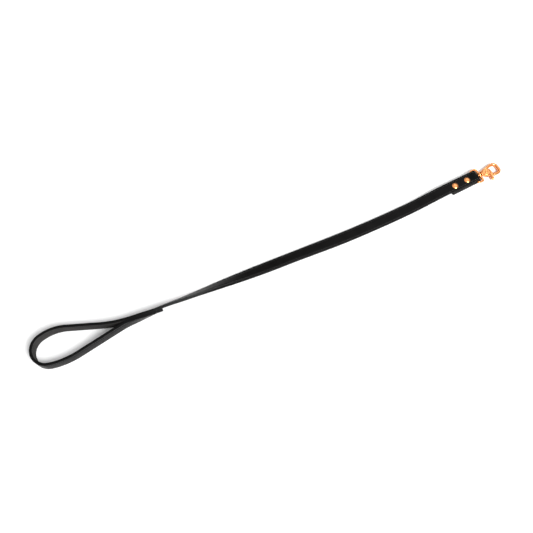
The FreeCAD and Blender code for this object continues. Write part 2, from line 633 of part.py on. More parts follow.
# ------------------------------------------------------- check and export
doc.recompute()
for item in doc.Objects:
    if "Invalid" in item.State or "Error" in item.State:
        raise RuntimeError(f"{item.Name} did not recompute: {item.State}")
os.makedirs("parts", exist_ok=True)
low, high = Vector(1e9, 1e9, 1e9), Vector(-1e9, -1e9, -1e9)
for node in made_nodes:
    shape = node.Shape
    if shape.isNull() or not shape.isValid():
        raise RuntimeError(f"{node.Label} has no valid shape")
    box = shape.BoundBox
    low = Vector(min(low.x, box.XMin), min(low.y, box.YMin), min(low.z, box.ZMin))
    high = Vector(max(high.x, box.XMax), max(high.y, box.YMax), max(high.z, box.ZMax))
    print(f"{node.Label}: {len(shape.Solids)} solid(s), {shape.Volume:.1f} mm3, {len(shape.Faces)} faces")
for node in made_nodes:
    node.Shape.exportStep(f"parts/{node.Label}.step")
print(f"box {high.x - low.x:.1f} x {high.y - low.y:.1f} x {high.z - low.z:.1f} mm")
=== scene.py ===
import json
import math

import bmesh
import bpy
import numpy as np
from mathutils import Matrix, Vector


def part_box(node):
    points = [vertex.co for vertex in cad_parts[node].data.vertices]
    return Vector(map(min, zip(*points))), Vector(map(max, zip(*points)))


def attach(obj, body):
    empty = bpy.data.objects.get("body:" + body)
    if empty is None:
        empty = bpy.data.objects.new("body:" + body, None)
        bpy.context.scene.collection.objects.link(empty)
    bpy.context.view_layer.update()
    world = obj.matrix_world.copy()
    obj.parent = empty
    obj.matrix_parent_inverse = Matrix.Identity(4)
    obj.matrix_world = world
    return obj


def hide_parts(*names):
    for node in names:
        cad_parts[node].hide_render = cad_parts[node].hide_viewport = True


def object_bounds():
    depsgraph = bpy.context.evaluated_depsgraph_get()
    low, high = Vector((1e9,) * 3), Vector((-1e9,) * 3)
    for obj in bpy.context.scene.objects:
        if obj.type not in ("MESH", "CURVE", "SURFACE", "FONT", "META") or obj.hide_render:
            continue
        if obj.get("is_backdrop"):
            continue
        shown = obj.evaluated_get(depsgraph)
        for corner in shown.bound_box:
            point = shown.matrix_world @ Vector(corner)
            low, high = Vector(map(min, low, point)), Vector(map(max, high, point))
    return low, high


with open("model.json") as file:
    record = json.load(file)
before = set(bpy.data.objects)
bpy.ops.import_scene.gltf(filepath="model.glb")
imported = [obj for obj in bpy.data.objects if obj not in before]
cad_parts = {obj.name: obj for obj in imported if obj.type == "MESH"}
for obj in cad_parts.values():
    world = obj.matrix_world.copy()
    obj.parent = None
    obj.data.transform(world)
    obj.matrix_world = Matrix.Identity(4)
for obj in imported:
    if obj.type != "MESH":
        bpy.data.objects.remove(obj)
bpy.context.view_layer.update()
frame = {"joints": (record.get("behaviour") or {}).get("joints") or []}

# ------------------------------------------------------------- grain ply
# The ply that shows: bridle-weight leather, dyed through black, waxed on the grain.
# Cut straight, creased 2.5 mm in from both edges for the stitches, edges rounded
# and painted, then folded round the eye's bar and bent back into the hand loop.
STRAP_WIDTH = 0.020
PLY_THICK = 0.0023
GLUE_GAP = 0.0001
STITCH_INSET = 0.0025

joint = {j["name"]: j for j in frame["joints"]}
BAR = Vector(joint["eye_swing"]["pos_m"])
BAR_HEIGHT = 0.0063                      # the strap bar over the tail's underside
FOLD_RADIUS = 0.0040                     # middle line of the strap round the bar
STRAP_ZERO = BAR - Vector((0, -0.0015, BAR_HEIGHT))
TAIL = 0.0525
TAIL_SHIFT, FOLD_SHIFT = 0.0030, 0.0026  # the tail lies a little to the near side
CLIMB = 0.012                            # the top layer comes down from the bar over this
TAIL_STEPS, WRAP_DEGREES, CLIMB_STEPS = 26, 4, 24
PATH_STEP = 0.002
ROLL_TURNS = ((16, 0.250, 0.380), (48, 0.390, 0.605), (26, 0.590, 0.668))
doubled = 2 * PLY_THICK + GLUE_GAP
half_width = STRAP_WIDTH / 2


def smooth(value, start, end):
    """0 before start and 1 after end, level at both."""
    part = min(max((value - start) / (end - start), 0.0), 1.0)
    return part * part * (3 - 2 * part)


def roll_at(distance):
    """How the strap turns from lying flat to standing on edge, away from the eye."""
    roll = 90
    for degrees, start, end in ROLL_TURNS:
        roll -= degrees * smooth(distance, start, end)
    return math.radians(roll)


class Plan:
    """The strap's line seen from above, as straight and round stretches."""

    def __init__(self, spot, heading):
        self.spot, self.heading = Vector(spot), heading
        self.stops = [(self.spot.copy(), heading)]

    def straight(self, length):
        count = math.ceil(length / PATH_STEP)
        ahead = Vector((math.cos(self.heading), math.sin(self.heading), 0))
        for _ in range(count):
            self.spot += ahead * (length / count)
            self.stops.append((self.spot.copy(), self.heading))

    def bend(self, radius, degrees):
        """Counter-clockwise when degrees is positive."""
        turn = math.radians(degrees)
        count = math.ceil(max(abs(degrees), abs(turn) * radius / PATH_STEP))
        side = math.copysign(radius, degrees)
        inward = Vector((-math.sin(self.heading), math.cos(self.heading), 0))
        centre = self.spot + inward * side
        for _ in range(count):
            self.heading += turn / count
            outward = Vector((math.sin(self.heading), -math.cos(self.heading), 0))
            self.spot = centre + outward * side
            self.stops.append((self.spot.copy(), self.heading))


UP = Vector((0, 0, 1))
fold, drift = [], []
for step in range(TAIL_STEPS):           # along the tail to the bar
    share = step / TAIL_STEPS
    fold.append((Vector((-TAIL * (1 - share), 0, PLY_THICK)), -UP))
    drift.append(-TAIL_SHIFT + (TAIL_SHIFT - FOLD_SHIFT) * share)
for degrees in range(0, 181, WRAP_DEGREES):  # round the bar
    angle = math.radians(degrees)
    out = Vector((math.sin(angle), 0, -math.cos(angle)))
    fold.append((UP * BAR_HEIGHT + out * FOLD_RADIUS, out))
    drift.append(-FOLD_SHIFT * (1 - degrees / 360))
top_height = doubled + PLY_THICK
for step in range(1, CLIMB_STEPS + 1):   # down on to the tail
    settled = smooth(step / CLIMB_STEPS, 0, 1)
    height = (BAR_HEIGHT + FOLD_RADIUS) * (1 - settled) + top_height * settled
    fold.append((Vector((-CLIMB * step / CLIMB_STEPS, 0, height)), UP))
    drift.append(-FOLD_SHIFT / 2 * (1 - settled))

RUN_NEAR, RUN_SWEEP, RUN_FAR = 0.100, 0.200, 0.3328
RUN_TURN, MERGE_TURN, MERGE_RADIUS = 4.6, 7.5, 0.080
plan = Plan((-CLIMB, 0, 0), math.pi)
plan.straight(RUN_NEAR)
plan.bend(RUN_SWEEP / math.radians(RUN_TURN), -RUN_TURN)
plan.straight(RUN_FAR)
join, join_heading, join_stop = plan.spot.copy(), plan.heading, len(plan.stops) - 1
plan.bend(0.165, -18.8)                  # out of the run into the hand loop
plan.straight(0.056)                     # its far side
plan.bend(0.066, 37)
plan.bend(0.026, 152)                    # its round end
plan.bend(0.120, 360 + MERGE_TURN - math.degrees(plan.heading))
merge = MERGE_TURN + RUN_TURN
side_way = Vector((math.sin(join_heading), -math.cos(join_heading), 0))
gap = doubled * math.cos(roll_at(-join.x))
gap += MERGE_RADIUS * (1 - math.cos(math.radians(merge)))
plan.straight((-gap - (plan.spot - join).dot(side_way)) / math.sin(math.radians(merge)))
plan.bend(MERGE_RADIUS, -merge)

OVERLAP, OVERLAP_EASE = 0.046, 0.040
TAIL_UNDER, TAIL_CLEAR = 0.060, 0.140    # the run settles to the floor past the tail
line = list(fold)
farthest = min(range(len(plan.stops)), key=lambda i: plan.stops[i][0].x)
for count, (spot, heading) in enumerate(plan.stops[1:], start=1):
    distance = -spot.x
    roll = roll_at(distance)
    height = half_width * math.cos(roll) + PLY_THICK * math.sin(roll)
    if count <= farthest:
        height += doubled * (1 - smooth(distance, TAIL_UNDER, TAIL_CLEAR))
        lap = -join.x - OVERLAP
        height += doubled * math.sin(roll) * smooth(distance, lap - OVERLAP_EASE, lap)
    lean = roll if count <= farthest else -roll
    out = Vector((math.sin(heading), -math.cos(heading), 0))
    line.append((Vector((spot.x, spot.y, height)), out * math.cos(lean) + UP * math.sin(lean)))


def square_up(path):
    """Middle, outward normal and width direction at each point of a path."""
    ways = [(b[0] - a[0]).normalized() for a, b in zip(path, path[1:])]
    frames = []
    for (spot, out), before, after in zip(path, ways[:1] + ways, ways + ways[-1:]):
        ahead = (before + after).normalized()
        square = (out - ahead * out.dot(ahead)).normalized()
        frames.append((spot, square, ahead.cross(square).normalized()))
    return frames


whole = square_up(line)
for stop in range(join_stop - 1, 0, -1):
    spot, out, _ = whole[len(fold) - 1 + stop]
    if -join.x + spot.x > OVERLAP:
        break
    line.append((spot - out * doubled, -out))
whole = square_up(line)
for (spot, _, _), sideways in zip(whole, drift):
    spot.y += sideways
spots = np.array([spot + STRAP_ZERO for spot, _, _ in whole])
outs = np.array([out for _, out, _ in whole])
wides = np.array([wide for _, _, wide in whole])
run = np.concatenate([[0], np.cumsum(np.linalg.norm(np.diff(spots, axis=0), axis=1))])
STRAP_LONG = float(run[-1])


def lay(piece):
    """Carry a piece modelled straight, X along and Z out of the strap, to its lie."""
    count = len(piece.data.vertices)
    flat = np.zeros(count * 3, np.float32)
    piece.data.vertices.foreach_get("co", flat)
    flat = flat.reshape(-1, 3).astype(float)

    def read(table):
        return np.stack([np.interp(flat[:, 0], run, table[:, k]) for k in range(3)], 1)

    laid = read(spots) + read(wides) * flat[:, 1:2] + read(outs) * flat[:, 2:3]
    piece.data.vertices.foreach_set("co", laid.astype(np.float32).ravel())
    piece.data.update()


def begin(name):
    """Name the primitive just added, and bring its place into its mesh."""
    piece = bpy.context.object
    piece.name = piece.data.name = name
    bpy.ops.object.transform_apply(location=True, rotation=True, scale=True)
    return piece


def choose(piece, kind, test):
    """In edit mode, select only the parts whose middle passes the test."""
    bpy.ops.mesh.select_mode(type=kind)
    bpy.ops.mesh.select_all(action="DESELECT")
    shape = bmesh.from_edit_mesh(piece.data)
    if kind == "VERT":
        found = [v for v in shape.verts if test(v.co)]
    elif kind == "EDGE":
        found = [e for e in shape.edges if test((e.verts[0].co + e.verts[1].co) / 2, e)]
    else:
        found = [f for f in shape.faces if test(f.calc_center_median(), f)]
    for item in found:
        item.select_set(True)
    bmesh.update_edit_mesh(piece.data)


def span(edge):
    """How far an edge reaches along X, Y and Z."""
    return Vector([abs(part) for part in edge.verts[0].co - edge.verts[1].co])


def beside_wall(edge):
    return any(abs(face.normal.z) < 0.5 for face in edge.link_faces)


def block(name, middle, size):
    bpy.ops.object.select_all(action="DESELECT")
    bpy.ops.mesh.primitive_cube_add(size=1, location=middle, scale=size)
    return begin(name)


def edit(on=True):
    bpy.ops.object.mode_set(mode="EDIT" if on else "OBJECT")


def apply_modifier(piece, kind, **settings):
    bpy.ops.object.select_all(action="DESELECT")
    piece.select_set(True)
    bpy.context.view_layer.objects.active = piece
    made = piece.modifiers.new(kind.lower(), kind)
    for key, value in settings.items():
        setattr(made, key, value)
    bpy.ops.object.modifier_apply(modifier=made.name)


def soften(piece, degrees=35):
    bpy.ops.object.select_all(action="DESELECT")
    piece.select_set(True)
    bpy.context.view_layer.objects.active = piece
    bpy.ops.object.shade_smooth_by_angle(angle=math.radians(degrees))


CREASE_HALF, CREASE_DEEP = 0.00060, 0.00032
LAND_DROP = 0.00014
TAIL_CORNER, LOOP_CORNER = (0.0012, 3), (0.0050, 6)  # radius and facets
EDGE_ROUND, GLUED_ROUND = 0.0010, 0.00012
CUTS = 27                                # two rounds of cuts give 28 x 28 sections
LONG_EDGE = 0.02                         # only edges longer than this are cut


def cut_ply(name, low, outer):
    """A straight ply from n = low, its outer face creased and its edges rounded."""
    sign = 1 if outer > low else -1
    thick = abs(outer - low)
    ply = block(name, (STRAP_LONG / 2, 0, (low + outer) / 2), (STRAP_LONG, STRAP_WIDTH, thick))
    edit()
    crease = half_width - STITCH_INSET
    for across in (0, 0.5 * crease, crease - CREASE_HALF, crease, crease + CREASE_HALF):
        for side in {across, -across}:
            bpy.ops.mesh.select_all(action="SELECT")
            bpy.ops.mesh.bisect(plane_co=(0, side, 0), plane_no=(0, 1, 0))
    # the glued-back end has its corners cut round, the tail's corners only broken
    for end, (corner, facets) in ((0, TAIL_CORNER), (STRAP_LONG, LOOP_CORNER)):
        choose(ply, "EDGE", lambda m, e: abs(m.x - end) < 1e-6
               and abs(abs(m.y) - half_width) < 1e-6 and span(e).z > thick / 2)
        bpy.ops.mesh.bevel(offset=corner, segments=facets, affect="EDGES")
    for level, radius, facets in ((outer, EDGE_ROUND, 4), (low, GLUED_ROUND, 1)):
        choose(ply, "EDGE", lambda m, e: abs(m.z - level) < 1e-6 and beside_wall(e))
        bpy.ops.mesh.bevel(offset=radius, segments=facets, affect="EDGES", clamp_overlap=True)
    choose(ply, "VERT", lambda v: abs(v.z - outer) < 1e-6 and abs(abs(v.y) - crease) < 1e-6)
    bpy.ops.transform.translate(value=(0, 0, -sign * CREASE_DEEP))
    choose(ply, "VERT", lambda v: abs(v.z - outer) < 1e-6
           and abs(v.y) > crease + CREASE_HALF / 2)
    bpy.ops.transform.translate(value=(0, 0, -sign * LAND_DROP))
    for _ in range(2):
        choose(ply, "EDGE", lambda m, e: span(e).y < 1e-6 and span(e).z < 1e-6
               and span(e).x > LONG_EDGE)
        bpy.ops.mesh.subdivide(number_cuts=CUTS)
    edit(False)
    crowd_sections(ply)
    return ply


SECTION_TURN = 0.07                      # radians from one section to the next
SECTION_LEAST, SECTION_MOST = 0.00040, 0.0022
END_KEEP = 0.0065                        # the rounded ends keep their shape


def crowd_sections(ply):
    """Move the even sections closer together where the strap bends most."""
    turn = np.linalg.norm(np.diff(outs, axis=0), axis=1) / np.diff(run)
    weight = 1 / np.clip(SECTION_TURN / (turn + 1e-6), SECTION_LEAST, SECTION_MOST)
    tally = np.concatenate([[0], np.cumsum(weight * np.diff(run))])
    tally *= STRAP_LONG / tally[-1]
    first = np.interp(END_KEEP, tally, run)
    last = np.interp(STRAP_LONG - END_KEEP, tally, run)
    stretch = (STRAP_LONG - 2 * END_KEEP) / (last - first)
    for vertex in ply.data.vertices:
        x = vertex.co.x
        if END_KEEP < x < STRAP_LONG - END_KEEP:
            vertex.co.x = END_KEEP + (np.interp(x, tally, run) - first) * stretch


def mark_strap(piece):
    """UV map that runs along and across the strap, in metres, before it is laid."""
    layer = piece.data.uv_layers.new(name="strap")
    spread = np.zeros(len(piece.data.loops) * 2, np.float32)
    for loop in piece.data.loops:
        flat = piece.data.vertices[loop.vertex_index].co
        spread[2 * loop.index] = flat.x
        spread[2 * loop.index + 1] = flat.y + flat.z
    layer.data.foreach_set("uv", spread)


class Finish:
    """A material, built node by node."""

    def __init__(self, name, **sockets):
        self.made = bpy.data.materials.new(name)
        self.made.use_nodes = True
        self.tree = self.made.node_tree
        self.shader = self.tree.nodes["Principled BSDF"]
        for socket, value in sockets.items():
            self.shader.inputs[socket.replace("_", " ")].default_value = value

    def node(self, kind, inputs=None, **settings):
        made = self.tree.nodes.new(kind)
        for key, value in settings.items():
            setattr(made, key, value)
        for key, value in (inputs or {}).items():
            if isinstance(value, bpy.types.NodeSocket):
                self.tree.links.new(value, made.inputs[key])
            else:
                made.inputs[key].default_value = value
        return made

    def noise(self, where, scale, detail=2.0, rough=0.5):
        return self.node("ShaderNodeTexNoise", {"Vector": where, "Scale": scale, "Detail": detail,
                                                "Roughness": rough}).outputs["Fac"]

    def ramp(self, factor, stops):
        """Colour or grey at each place of the factor."""
        made = self.node("ShaderNodeValToRGB", {"Fac": factor})
        band = made.color_ramp.elements
        while len(band) < len(stops):
            band.new(0.5)
        for element, (place, colour) in zip(band, stops):
            element.position = place
            element.color = colour if len(colour) == 4 else (*colour, 1)
        return made.outputs["Color"]

    def to(self, socket, output):
        self.tree.links.new(output, self.shader.inputs[socket])

    def bump(self, height, deep, strength=1.0, under=None):
        inputs = {"Height": height, "Distance": deep, "Strength": strength}
        if under is not None:
            inputs["Normal"] = under
        return self.node("ShaderNodeBump", inputs).outputs["Normal"]

    def place(self, kind="Object"):
        return self.node("ShaderNodeTexCoord").outputs[kind]


def leather(name, dark, light, rough, grain, deep, shine, edge_dye=None):
    """Fine pebble grain, clouds in the dye, rubbed patches; edge_dye darkens the edges."""
    hide = Finish(name, Specular_IOR_Level=shine)
    where = hide.place()
    pebble = hide.node("ShaderNodeTexVoronoi", {"Vector": where, "Scale": grain, "Randomness": 0.9},
                       feature="SMOOTH_F1").outputs["Distance"]
    pores = hide.noise(where, grain * 2.3, 3.0, 0.6)
    clouds = hide.noise(where, 55.0, 4.0, 0.6)
    rubbed = hide.noise(where, 190.0, 3.0, 0.65)
    dye = hide.ramp(clouds, [(0.30, dark), (0.72, light)])
    if edge_dye:
        strap_map = hide.node("ShaderNodeUVMap", uv_map="strap").outputs["UV"]
        over = hide.node("ShaderNodeSeparateXYZ", {"Vector": strap_map}).outputs["Y"]
        off_middle = hide.node("ShaderNodeMath", {0: over}, operation="ABSOLUTE").outputs[0]
        burnish = hide.node("ShaderNodeMapRange", {
            "Value": off_middle, "From Min": half_width - STITCH_INSET,
            "From Max": half_width - 0.4 * STITCH_INSET}).outputs["Result"]
        dye = hide.node("ShaderNodeMixRGB", {"Fac": burnish, "Color1": dye,
                                             "Color2": (*edge_dye, 1)}).outputs["Color"]
    hide.to("Base Color", dye)
    hide.to("Roughness", hide.ramp(rubbed, [(0.30, (rough - 0.07,) * 3),
                                            (0.70, (rough + 0.08,) * 3)]))
    skin = hide.bump(pebble, deep, 0.8)
    hide.to("Normal", hide.bump(pores, deep * 0.5, 0.5, skin))
    return hide.made


grain_leather = leather("grain_leather", (0.0016, 0.0015, 0.0015), (0.0040, 0.0037, 0.0036),
                        0.38, 1500.0, 0.00005, 0.07, edge_dye=(0.0015, 0.0014, 0.0014))
edge_paint = Finish("edge_paint", Base_Color=(0.0018, 0.0018, 0.0018, 1),
                    Specular_IOR_Level=0.10)
ripple = edge_paint.noise(edge_paint.place(), 420.0, 2.0, 0.5)
edge_paint.to("Roughness", edge_paint.ramp(ripple, [(0.3, (0.38,) * 3), (0.7, (0.50,) * 3)]))
edge_paint.to("Normal", edge_paint.bump(ripple, 0.00006, 0.6))


PAINTED = 0.0008                         # faces this near to a side or end are painted


def paint_edges(ply, face_finish):
    """Edge paint on the rounded sides and ends, the leather's finish on its faces."""
    ply.data.materials.append(face_finish)
    ply.data.materials.append(edge_paint.made)
    for face in ply.data.polygons:
        on_side = abs(face.center.y) > half_width - PAINTED
        on_end = min(face.center.x, STRAP_LONG - face.center.x) < PAINTED
        face.material_index = 1 if on_side or on_end else 0


RIVETS = {}
for which in ("rear", "front"):
    low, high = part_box(which + "_rivet_cap")
    RIVETS[which] = (low + high) / 2

grain_ply = cut_ply("grain_ply", 0.0, PLY_THICK)
paint_edges(grain_ply, grain_leather)
mark_strap(grain_ply)
lay(grain_ply)
soften(grain_ply)
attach(grain_ply, "strap")
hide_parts("strap_grain_ply")

# ------------------------------------------------------------- lining ply
# The ply behind it, cemented to the first along its whole length: black leather with
# a plainer and more matt surface and larger, flatter grain. Its dye is set well lighter
# than the grain ply's, partly for the lining's own greyer tone and partly as painted
# sheen, standing in for the floor's light reflected off its faces.
lining_leather = leather("lining_leather", (0.0250, 0.0240, 0.0232), (0.0370, 0.0354, 0.0344),
                         0.66, 1100.0, 0.00004, 0.06)
lining_ply = cut_ply("lining_ply", 0.0, -PLY_THICK)
paint_edges(lining_ply, lining_leather)
mark_strap(lining_ply)
lay(lining_ply)
soften(lining_ply)
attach(lining_ply, "strap")
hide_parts("strap_lining_ply")

# --------------------------------------------------------- edge stitching
# Black waxed polyester thread, saddle stitched through both plies: a row along each
# edge, lying in the crease. Each stitch leans a little and dives into its holes.
STITCH_PITCH = 0.0031
STITCH_LONG, STITCH_WIDE, STITCH_TALL = 0.00255, 0.00080, 0.00062
STITCH_LEAN = math.radians(9)

waxed_thread = Finish("waxed_thread", Roughness=0.45, Specular_IOR_Level=0.40)
where = waxed_thread.place()
twist = waxed_thread.node("ShaderNodeTexWave", {"Vector": where, "Scale": 900.0, "Distortion": 1.5},
                          bands_direction="DIAGONAL").outputs["Fac"]
waxed_thread.to("Base Color", waxed_thread.ramp(twist, [(0.2, (0.012, 0.012, 0.012)),
                                                        (0.8, (0.042, 0.040, 0.040))]))
waxed_thread.to("Normal", waxed_thread.bump(twist, 0.00004, 0.7))


def stitch_at(name, spot, lean, flip):
    """One stitch: a thread's length, leaning, with its two ends drawn down."""
    bpy.ops.object.select_all(action="DESELECT")
    bpy.ops.mesh.primitive_uv_sphere_add(segments=6, ring_count=5, radius=0.5,
                                         rotation=(0, math.pi / 2, 0),
                                         scale=(STITCH_TALL, STITCH_WIDE, STITCH_LONG))
    stitch = begin(name)
    edit()
    choose(stitch, "VERT", lambda v: abs(v.x) > 0.30 * STITCH_LONG)
    bpy.ops.transform.translate(value=(0, 0, -0.4 * STITCH_TALL * flip))
    edit(False)
    stitch.data.transform(Matrix.Translation(spot) @ Matrix.Rotation(lean, 4, "Z"))
    return stitch


def repeat(piece, step, count):
    apply_modifier(piece, "ARRAY", use_relative_offset=False, use_constant_offset=True,
                   constant_offset_displace=step, count=count)


def join(pieces):
    bpy.ops.object.select_all(action="DESELECT")
    for piece in pieces:
        piece.select_set(True)
    bpy.context.view_layer.objects.active = pieces[0]
    bpy.ops.object.join()
    return pieces[0]


row_count = int((STRAP_LONG - 2 * STITCH_INSET) / STITCH_PITCH)
for side, name in ((1, "left"), (-1, "right")):
    faces = []
    for flip, crest in ((1, PLY_THICK + 0.00006), (-1, PLY_THICK - 0.00004)):
        spot = Vector((STITCH_INSET + STITCH_PITCH / 2, side * (half_width - STITCH_INSET),
                       flip * (crest - STITCH_TALL / 2)))
        row = stitch_at("stitching_" + name, spot, flip * side * STITCH_LEAN, flip)
        repeat(row, (STITCH_PITCH, 0, 0), row_count)
        faces.append(row)
    row = join(faces)
    row.name = row.data.name = "stitching_" + name
    row.data.materials.append(waxed_thread.made)
    lay(row)
    soften(row, 60)
    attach(row, "strap")
    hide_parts("edge_stitching_" + name)

# ------------------------------------------------- lock rows of the loop
# Two rows of the same thread across the strap, where the hand loop starts, lock the
# folded-back end to the run so that the loop can't peel open.
LOCK_FROM_END = (0.029, 0.037)
LOCK_STITCHES = 4
rows = []
for number, back in enumerate(LOCK_FROM_END):
    first = -(LOCK_STITCHES - 1) / 2 * STITCH_PITCH
    spot = Vector((STRAP_LONG - back, first, PLY_THICK + 0.0001 - STITCH_TALL / 2))
    row = stitch_at(f"lock_row_{number}", spot, math.pi / 2 + STITCH_LEAN, 1)
    repeat(row, (0, STITCH_PITCH, 0), LOCK_STITCHES)
    rows.append(row)
lock_rows = join(rows)
lock_rows.name = lock_rows.data.name = "loop_lock_rows"
lock_rows.data.materials.append(waxed_thread.made)
lay(lock_rows)
soften(lock_rows, 60)
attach(lock_rows, "strap")
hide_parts("loop_lock_stitching")

# ------------------------------------------------------------ rivet caps
# Double-cap rivets of brass with a rose gold plate: a domed cap about 11 mm across,
# pressed on to its post so that its rim bites a little into the leather.
rose_gold = Finish("rose_gold", Metallic=1.0)
where = rose_gold.place()
wear = rose_gold.noise(where, 240.0, 4.0, 0.6)
polished = rose_gold.node("ShaderNodeMapping", {"Vector": where, "Scale": (1.0, 9.0, 9.0)})
fine = rose_gold.noise(polished.outputs["Vector"], 1400.0, 3.0, 0.7)
rose_gold.to("Base Color", rose_gold.ramp(wear, [(0.30, (0.88, 0.345, 0.120)),
                                                 (0.70, (0.95, 0.410, 0.160))]))
rose_gold.to("Roughness", rose_gold.ramp(fine, [(0.25, (0.09,) * 3), (0.75, (0.22,) * 3)]))
cast_skin = rose_gold.bump(wear, 0.00012, 0.35)
rose_gold.to("Normal", rose_gold.bump(fine, 0.000012, 0.5, cast_skin))


def turned(name, rings, sides=48):
    """Round piece about Z, from foot to top: a disc extruded and scaled ring by ring."""
    radius, height = rings[0]
    bpy.ops.object.select_all(action="DESELECT")
    bpy.ops.mesh.primitive_circle_add(vertices=sides, radius=radius, fill_type="NGON",
                                      location=(0, 0, height))
    piece = begin(name)
    edit()
    bpy.ops.mesh.select_mode(type="FACE")
    bpy.ops.mesh.select_all(action="SELECT")
    for wide, tall in rings[1:]:
        bpy.ops.mesh.extrude_region_move(TRANSFORM_OT_translate={"value": (0, 0, tall - height)})
        grow = wide / radius
        bpy.ops.transform.resize(value=(grow, grow, 1), center_override=(0, 0, tall))
        radius, height = wide, tall
    bpy.ops.mesh.select_all(action="SELECT")
    bpy.ops.mesh.normals_make_consistent(inside=False)
    edit(False)
    return piece


def metal(piece, body, node=None, degrees=40):
    """Last steps of every plated piece."""
    piece.data.materials.clear()
    piece.data.materials.append(rose_gold.made)
    soften(piece, degrees)
    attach(piece, body)
    if node:
        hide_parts(node)


CAP_RADIUS, CAP_RIM, CAP_DOME = 0.0055, 0.0005, 0.0013
for which, spot in RIVETS.items():
    rings = [(CAP_RADIUS - 0.0006, -0.00012), (CAP_RADIUS - 0.0001, 0.0), (CAP_RADIUS, 0.00015),
             (CAP_RADIUS, CAP_RIM - 0.00015), (CAP_RADIUS - 0.00018, CAP_RIM),
             (CAP_RADIUS - 0.00062, CAP_RIM + 0.00010)]
    for degrees in range(10, 90, 10):    # the dome is a shallow round
        angle = math.radians(degrees)
        rings.append(((CAP_RADIUS - 0.0007) * math.cos(angle),
                      CAP_RIM + 0.0001 + (CAP_DOME - 0.0001) * math.sin(angle) ** 1.5))
    cap = turned(which + "_cap", rings)
    cap.data.transform(Matrix.Translation((spot.x, spot.y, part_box(which + "_rivet_cap")[0].z)))
    metal(cap, "strap", which + "_rivet_cap", 30)

# ------------------------------------------------- rivet posts and backs
# The other half of each rivet: a flat back cap set level with the tail's underside and
# a post, 3.8 mm thick, that goes up through all four plies into the domed cap.
BACK_THICK, POST_RADIUS = 0.00045, 0.0019
for which, spot in RIVETS.items():
    foot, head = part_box(which + "_rivet_post")
    tall = head.z - foot.z
    rings = [(CAP_RADIUS - 0.0004, 0.0), (CAP_RADIUS - 0.0001, 0.0001),
             (CAP_RADIUS - 0.0001, 0.0003), (CAP_RADIUS - 0.0003, BACK_THICK),
             (POST_RADIUS + 0.0004, BACK_THICK), (POST_RADIUS, BACK_THICK + 0.0004),
             (POST_RADIUS, tall - 0.0003), (POST_RADIUS - 0.0003, tall)]
    post = turned(which + "_post", rings, 32)
    post.data.transform(Matrix.Translation((spot.x, spot.y, foot.z)))
    metal(post, "strap", which + "_rivet_post")

# ------------------------------------------------------------- swivel eye
# A die-cast rectangular eye for a 20 mm strap: thin strap bar, side bars, and a broader
# outer bar with a bored boss, in which the hook's stud turns.
along = Vector(joint["hook_swivel"]["axis"]).normalized()
across = Vector((0, 1, 0))
SNAP = Matrix((along, across, along.cross(across))).transposed().to_4x4()
SNAP.translation = BAR
EYE_INSIDE, EYE_REACH, EYE_BAR, STRAP_BAR = 0.0230, 0.0110, 0.0018, 0.0016
EYE_CORNER, OUTER_BAR_IN = 0.0021, 0.0008
BOSS_BACK, BOSS_AHEAD, BOSS_RADIUS, BORE = 0.0029, 0.0020, 0.0042, 0.00208


def rod(name, radius, start, heading, moves, sides=24):
    """Round bar bent in its plane; a move is a length, or (bend radius, degrees).

    Degrees count counter-clockwise, and spin counts its angle the other way.
    """
    bpy.ops.object.select_all(action="DESELECT")
    way = math.radians(heading)
    bpy.ops.mesh.primitive_circle_add(vertices=sides, radius=radius, location=(*start, 0),
                                      rotation=(math.pi / 2, 0, way + math.pi / 2))
    piece = begin(name)
    spot = Vector((*start, 0))
    edit()
    bpy.ops.mesh.select_mode(type="EDGE")
    bpy.ops.mesh.select_all(action="SELECT")
    for move in moves:
        ahead = Vector((math.cos(way), math.sin(way), 0))
        if isinstance(move, tuple):
            bend, degrees = move
            side = Vector((-ahead.y, ahead.x, 0)) * math.copysign(bend, degrees)
            turn = math.radians(degrees)
            bpy.ops.mesh.spin(steps=max(3, round(abs(degrees) / 9)), angle=-turn,
                              center=spot + side, axis=(0, 0, 1))
            spot = spot + side - Matrix.Rotation(turn, 3, "Z") @ side
            way += turn
        else:
            bpy.ops.mesh.extrude_region_move(TRANSFORM_OT_translate={"value": ahead * move})
            spot = spot + ahead * move
    bpy.ops.mesh.select_all(action="SELECT")
    bpy.ops.mesh.remove_doubles(threshold=1e-6)
    bpy.ops.mesh.fill_holes(sides=0)
    bpy.ops.mesh.select_all(action="SELECT")
    bpy.ops.mesh.normals_make_consistent(inside=False)
    edit(False)
    return piece


def lie_along(piece, start=0.0):
    """Turn a piece made about Z so that it lies along the snap's own length."""
    piece.data.transform(Matrix.Translation((start, 0, 0)) @ Matrix.Rotation(math.pi / 2, 4, "Y"))
    return piece


def cast(piece, voxel, passes):
    """Melt joined shapes into one casting with soft inside corners."""
    apply_modifier(piece, "REMESH", mode="VOXEL", voxel_size=voxel, adaptivity=0.0)
    apply_modifier(piece, "SMOOTH", factor=0.5, iterations=passes)


def carve(piece, tool):
    """Take the tool's shape out of the piece."""
    apply_modifier(piece, "BOOLEAN", operation="DIFFERENCE", object=tool, solver="EXACT")
    bpy.data.objects.remove(tool)


